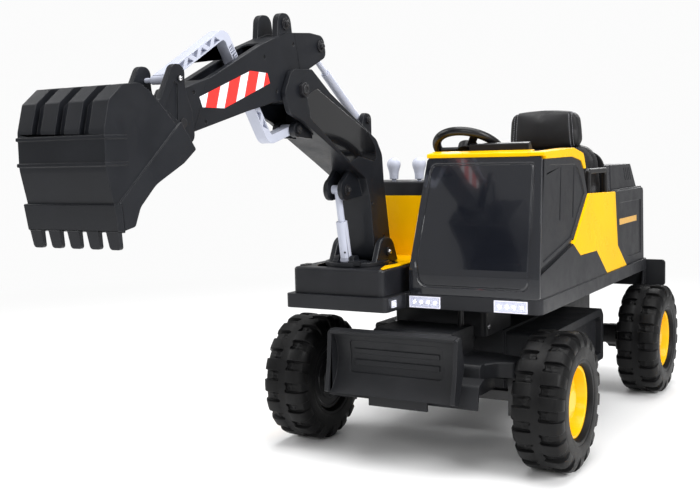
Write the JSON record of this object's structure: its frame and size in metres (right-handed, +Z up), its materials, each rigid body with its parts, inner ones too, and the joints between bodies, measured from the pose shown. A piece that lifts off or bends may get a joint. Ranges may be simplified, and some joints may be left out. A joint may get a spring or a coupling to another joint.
{
  "type": "ride on digger",
  "caption": "Child's ride-on digger: four-wheeled chassis with dozer blade, cab and padded seat, and a jointed digging arm with a toothed bucket beside the rider.",
  "frame": {"origin": "centre of the overall footprint, on the ground", "axes": "+Z up, -Y towards the bucket and the front wheels, +X to the rider's left"},
  "size_m": [0.649, 1.6974, 0.8671],
  "materials": {
    "undercarriage_plastic": "fine-grained charcoal moulding",
    "gearcase_plastic": "matt black",
    "axle_steel": "drawn steel",
    "house_plastic": "satin charcoal",
    "windscreen_gloss": "glossy blue-black",
    "yellow_plastic": "glossy warm yellow",
    "lamp_clear": "clear lens with bright diodes",
    "control_black": "satin black",
    "seat_cover": "grained black vinyl, sewn",
    "battery_case": "matt black",
    "screw_steel": "bright zinc",
    "arm_plastic": "satin charcoal",
    "inlay_gloss": "glossy near-black",
    "pin_steel": "satin dark grey pin covers",
    "light_grey_plastic": "satin pale grey",
    "tyre_rubber": "matt black-brown",
    "rim_yellow": "glossy warm yellow"
  },
  "bodies": {
    "vehicle": {"chassis_frame": "undercarriage_plastic", "front_axle_cover": "undercarriage_plastic", "pedestal": "undercarriage_plastic", "dozer_blade": "undercarriage_plastic", "rear_bumper": "undercarriage_plastic", "drive_motors": "gearcase_plastic", "axle_bars": "axle_steel", "deck_skirt": "house_plastic", "boom_block_cover": "house_plastic", "yellow_tub": "yellow_plastic", "console_top": "house_plastic", "lamp_lenses": "lamp_clear", "cab_front_panel": "windscreen_gloss", "cab_left_panel": "house_plastic", "cab_right_panel": "house_plastic", "cab_cowl": "yellow_plastic", "left_flank_panel": "yellow_plastic", "right_flank_panel": "yellow_plastic", "rear_body": "house_plastic", "engine_hood": "house_plastic", "armrests": "control_black", "seat_shell": "control_black", "seat_cushion": "seat_cover", "backrest": "seat_cover", "headrest": "seat_cover", "battery": "battery_case", "body_screws": "screw_steel", "dash_box": "control_black"},
    "turret": {"boom_turret": "arm_plastic"},
    "boom": {"boom_shell": "arm_plastic", "boom_inlays": "inlay_gloss", "boom_pins": "pin_steel"},
    "lift_barrel_body": {"lift_barrel": "light_grey_plastic"},
    "lift_rod_body": {"lift_rod": "light_grey_plastic"},
    "stick": {"stick_shell": "arm_plastic", "stick_pins": "pin_steel"},
    "push_barrel_body": {"push_barrel": "light_grey_plastic"},
    "push_rod_body": {"push_rod": "light_grey_plastic"},
    "bucket_body": {"bucket": "arm_plastic", "bucket_pins": "pin_steel"},
    "link_body": {"bucket_link": "light_grey_plastic"},
    "steering": {"steering_wheel": "control_black", "steering_shaft": "axle_steel"},
    "horn": {"horn_button": "control_black"},
    "column": {"steering_column": "axle_steel"},
    "tie_rod_body": {"tie_rod": "axle_steel"},
    "left_knuckle": {"knuckle_left": "axle_steel"},
    "right_knuckle": {"knuckle_right": "axle_steel"},
    "outer_lever": {"lever_outer": "light_grey_plastic"},
    "inner_lever": {"lever_inner": "light_grey_plastic"},
    "pedal": {"foot_pedal": "control_black"},
    "switch": {"direction_switch": "control_black"},
    "wheel_front_left": {"tyre_front_left": "tyre_rubber", "rim_front_left": "rim_yellow"},
    "wheel_front_right": {"tyre_front_right": "tyre_rubber", "rim_front_right": "rim_yellow"},
    "wheel_rear_left": {"tyre_rear_left": "tyre_rubber", "rim_rear_left": "rim_yellow"},
    "wheel_rear_right": {"tyre_rear_right": "tyre_rubber", "rim_rear_right": "rim_yellow"}
  },
  "joints": [
    {"name": "boom_swing", "type": "hinge", "parent": "vehicle", "child": "turret", "pos_m": [-0.142, -0.03675, 0.387], "axis": [0, 0, 1], "range_deg": [-25, 25]},
    {"name": "boom_lift", "type": "hinge", "parent": "turret", "child": "boom", "pos_m": [-0.142, -0.00575, 0.412], "axis": [1, 0, 0], "range_deg": [-10, 25]},
    {"name": "lift_barrel_tilt", "type": "hinge", "parent": "turret", "child": "lift_barrel_body", "pos_m": [-0.142, -0.08075, 0.4], "axis": [1, 0, 0], "range_deg": [-11.5, 28]},
    {"name": "lift_rod_slide", "type": "slide", "parent": "lift_barrel_body", "child": "lift_rod_body", "axis": [0, -0.1961, 0.9806], "range_m": [-0.033, 0.0135]},
    {"name": "stick_swing", "type": "hinge", "parent": "boom", "child": "stick", "pos_m": [-0.142, -0.29075, 0.733], "axis": [1, 0, 0], "range_deg": [-10, 25]},
    {"name": "push_barrel_tilt", "type": "hinge", "parent": "boom", "child": "push_barrel_body", "pos_m": [-0.142, -0.01975, 0.684], "axis": [1, 0, 0], "range_deg": [-1, 1]},
    {"name": "push_rod_slide", "type": "slide", "parent": "push_barrel_body", "child": "push_rod_body", "axis": [0, -0.8158, 0.5784], "range_m": [-0.021, 0.052]},
    {"name": "bucket_curl", "type": "hinge", "parent": "stick", "child": "bucket_body", "pos_m": [-0.142, -0.62975, 0.668], "axis": [1, 0, 0], "range_deg": [-11, 27]},
    {"name": "link_swing", "type": "hinge", "parent": "boom", "child": "link_body", "pos_m": [-0.142, -0.28575, 0.662], "axis": [1, 0, 0], "range_deg": [-11, 27]},
    {"name": "steer", "type": "hinge", "parent": "vehicle", "child": "steering", "pos_m": [0.065, 0.07525, 0.619], "axis": [0, 0.5446, 0.8387], "range_deg": [-45, 45]},
    {"name": "horn_press", "type": "slide", "parent": "steering", "child": "horn", "axis": [0, -0.5446, -0.8387], "range_m": [0, 0.002]},
    {"name": "column_turn", "type": "hinge", "parent": "vehicle", "child": "column", "pos_m": [0.065, 0.02075, 0.34], "axis": [0, 0, 1], "range_deg": [-46, 46]},
    {"name": "tie_rod_slide", "type": "slide", "parent": "vehicle", "child": "tie_rod_body", "axis": [1, 0, 0], "range_m": [-0.023, 0.023]},
    {"name": "left_knuckle_turn", "type": "hinge", "parent": "vehicle", "child": "left_knuckle", "pos_m": [0.205, -0.00325, 0.135], "axis": [0, 0, 1], "range_deg": [-24, 24]},
    {"name": "right_knuckle_turn", "type": "hinge", "parent": "vehicle", "child": "right_knuckle", "pos_m": [-0.205, -0.00325, 0.135], "axis": [0, 0, 1], "range_deg": [-24, 24]},
    {"name": "wheel_front_left_spin", "type": "hinge", "parent": "left_knuckle", "child": "wheel_front_left", "pos_m": [0.2745, -0.00325, 0.135], "axis": [1, 0, 0], "continuous": true},
    {"name": "wheel_front_right_spin", "type": "hinge", "parent": "right_knuckle", "child": "wheel_front_right", "pos_m": [-0.2745, -0.00325, 0.135], "axis": [1, 0, 0], "continuous": true},
    {"name": "wheel_rear_left_spin", "type": "hinge", "parent": "vehicle", "child": "wheel_rear_left", "pos_m": [0.2745, 0.71375, 0.135], "axis": [1, 0, 0], "continuous": true},
    {"name": "wheel_rear_right_spin", "type": "hinge", "parent": "vehicle", "child": "wheel_rear_right", "pos_m": [-0.2745, 0.71375, 0.135], "axis": [1, 0, 0], "continuous": true},
    {"name": "outer_lever_tilt", "type": "hinge", "parent": "vehicle", "child": "outer_lever", "pos_m": [-0.157, 0.16525, 0.53], "axis": [1, 0, 0], "range_deg": [-15, 15]},
    {"name": "inner_lever_tilt", "type": "hinge", "parent": "vehicle", "child": "inner_lever", "pos_m": [-0.094, 0.16525, 0.53], "axis": [1, 0, 0], "range_deg": [-15, 15]},
    {"name": "pedal_press", "type": "hinge", "parent": "vehicle", "child": "pedal", "pos_m": [0.1775, 0.10525, 0.342], "axis": [1, 0, 0], "range_deg": [0, 12]},
    {"name": "switch_rock", "type": "hinge", "parent": "vehicle", "child": "switch", "pos_m": [0.15, 0.04825, 0.584], "axis": [1, 0, 0], "range_deg": [-8, 8]}
  ],
  "couplings": [
    {"joint": "lift_barrel_tilt", "follows": "boom_lift", "ratio": 1.0977},
    {"joint": "lift_rod_slide", "follows": "boom_lift", "m_per_rad": -0.07304},
    {"joint": "push_barrel_tilt", "follows": "stick_swing", "ratio": -0.0087},
    {"joint": "push_rod_slide", "follows": "stick_swing", "m_per_rad": 0.11608},
    {"joint": "bucket_curl", "follows": "stick_swing", "ratio": 1.062},
    {"joint": "link_swing", "follows": "stick_swing", "ratio": 1.061},
    {"joint": "column_turn", "follows": "steer", "ratio": 1},
    {"joint": "tie_rod_slide", "follows": "steer", "m_per_rad": -0.0282},
    {"joint": "left_knuckle_turn", "follows": "steer", "ratio": 0.52},
    {"joint": "right_knuckle_turn", "follows": "steer", "ratio": 0.52}
  ]
}
